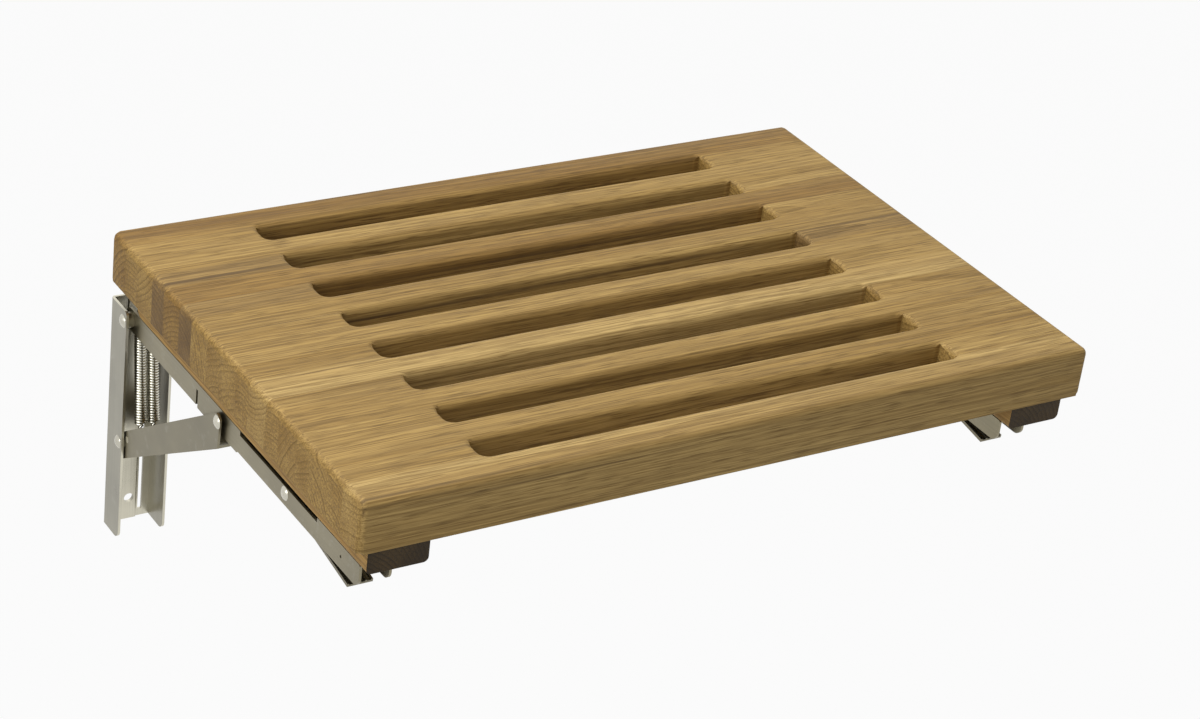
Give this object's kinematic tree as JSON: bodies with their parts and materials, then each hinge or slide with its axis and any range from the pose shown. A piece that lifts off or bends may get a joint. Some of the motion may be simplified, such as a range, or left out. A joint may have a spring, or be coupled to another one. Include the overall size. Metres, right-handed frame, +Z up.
{
  "type": "fold down wall seat",
  "caption": "Slatted teak seat that folds down from the wall on two latched stainless steel brackets with sprung struts.",
  "frame": {"origin": "centre of the four wall screw holes, on the wall plane", "axes": "+Z up, +X to the right as one faces the wall, +Y into the wall; the seat stands out to -Y"},
  "size_m": [0.457, 0.3064, 0.192],
  "materials": {
    "teak": "oiled",
    "stainless_sheet": "satin",
    "spring_steel": "polished",
    "bright_fasteners": "polished"
  },
  "bodies": {
    "wall": {"left_wall_rail": "stainless_sheet", "left_upper_pivot_pin": "bright_fasteners", "left_lower_pivot_rivets": "bright_fasteners", "left_pivot_spacers": "bright_fasteners", "left_strut_washers": "bright_fasteners", "right_wall_rail": "stainless_sheet", "right_upper_pivot_pin": "bright_fasteners", "right_lower_pivot_rivets": "bright_fasteners", "right_pivot_spacers": "bright_fasteners", "right_strut_washers": "bright_fasteners"},
    "seat": {"slat_1": "teak", "slat_2": "teak", "slat_3": "teak", "slat_4": "teak", "slat_5": "teak", "slat_6": "teak", "slat_7": "teak", "slat_8": "teak", "slat_9": "teak", "left_spacer_blocks": "teak", "right_spacer_blocks": "teak", "left_cleat": "teak", "left_cleat_screws": "bright_fasteners", "left_arm_channel": "stainless_sheet", "left_arm_screws": "bright_fasteners", "left_lever_pin": "bright_fasteners", "right_cleat": "teak", "right_cleat_screws": "bright_fasteners", "right_arm_channel": "stainless_sheet", "right_arm_screws": "bright_fasteners", "right_lever_pin": "bright_fasteners"},
    "left_strut": {"left_strut": "stainless_sheet", "left_strut_rivets": "bright_fasteners", "left_spring_anchor": "bright_fasteners"},
    "left_lever": {"left_release_lever": "stainless_sheet"},
    "left_springs": {"left_spring_outer": "spring_steel", "left_spring_inner": "spring_steel"},
    "right_strut": {"right_strut": "stainless_sheet", "right_strut_rivets": "bright_fasteners", "right_spring_anchor": "bright_fasteners"},
    "right_lever": {"right_release_lever": "stainless_sheet"},
    "right_springs": {"right_spring_outer": "spring_steel", "right_spring_inner": "spring_steel"}
  },
  "joints": [
    {"name": "seat_fold", "type": "hinge", "parent": "wall", "child": "seat", "pos_m": [0, -0.0165, 0.0675], "axis": [1, 0, 0], "range_deg": [0, 90]},
    {"name": "left_strut_swing", "type": "hinge", "parent": "wall", "child": "left_strut", "pos_m": [-0.2015, -0.0165, -0.0115], "axis": [1, 0, 0], "range_deg": [0, 123.52], "deforming": ["left_spring_outer", "left_spring_inner"]},
    {"name": "left_springs_swing", "type": "hinge", "parent": "wall", "child": "left_springs", "pos_m": [-0.2015, -0.0165, 0.0675], "axis": [1, 0, 0], "range_deg": [0, 6.13]},
    {"name": "left_lever_press", "type": "hinge", "parent": "seat", "child": "left_lever", "pos_m": [-0.2015, -0.2125, 0.067], "axis": [-1, 0, 0], "range_deg": [0, 8], "stiffness_Nm_per_rad": 0.6, "springref_deg": -8.59},
    {"name": "right_strut_swing", "type": "hinge", "parent": "wall", "child": "right_strut", "pos_m": [0.2015, -0.0165, -0.0115], "axis": [1, 0, 0], "range_deg": [0, 123.52], "deforming": ["right_spring_outer", "right_spring_inner"]},
    {"name": "right_springs_swing", "type": "hinge", "parent": "wall", "child": "right_springs", "pos_m": [0.2015, -0.0165, 0.0675], "axis": [1, 0, 0], "range_deg": [0, 6.13]},
    {"name": "right_lever_press", "type": "hinge", "parent": "seat", "child": "right_lever", "pos_m": [0.2015, -0.2125, 0.067], "axis": [-1, 0, 0], "range_deg": [0, 8], "stiffness_Nm_per_rad": 0.6, "springref_deg": -8.59}
  ],
  "couplings": [
    {"joint": "left_strut_swing", "follows": "seat_fold", "ratio": 1.3725},
    {"joint": "left_springs_swing", "follows": "seat_fold", "ratio": 0.06809},
    {"joint": "right_strut_swing", "follows": "seat_fold", "ratio": 1.3725},
    {"joint": "right_springs_swing", "follows": "seat_fold", "ratio": 0.06809}
  ]
}
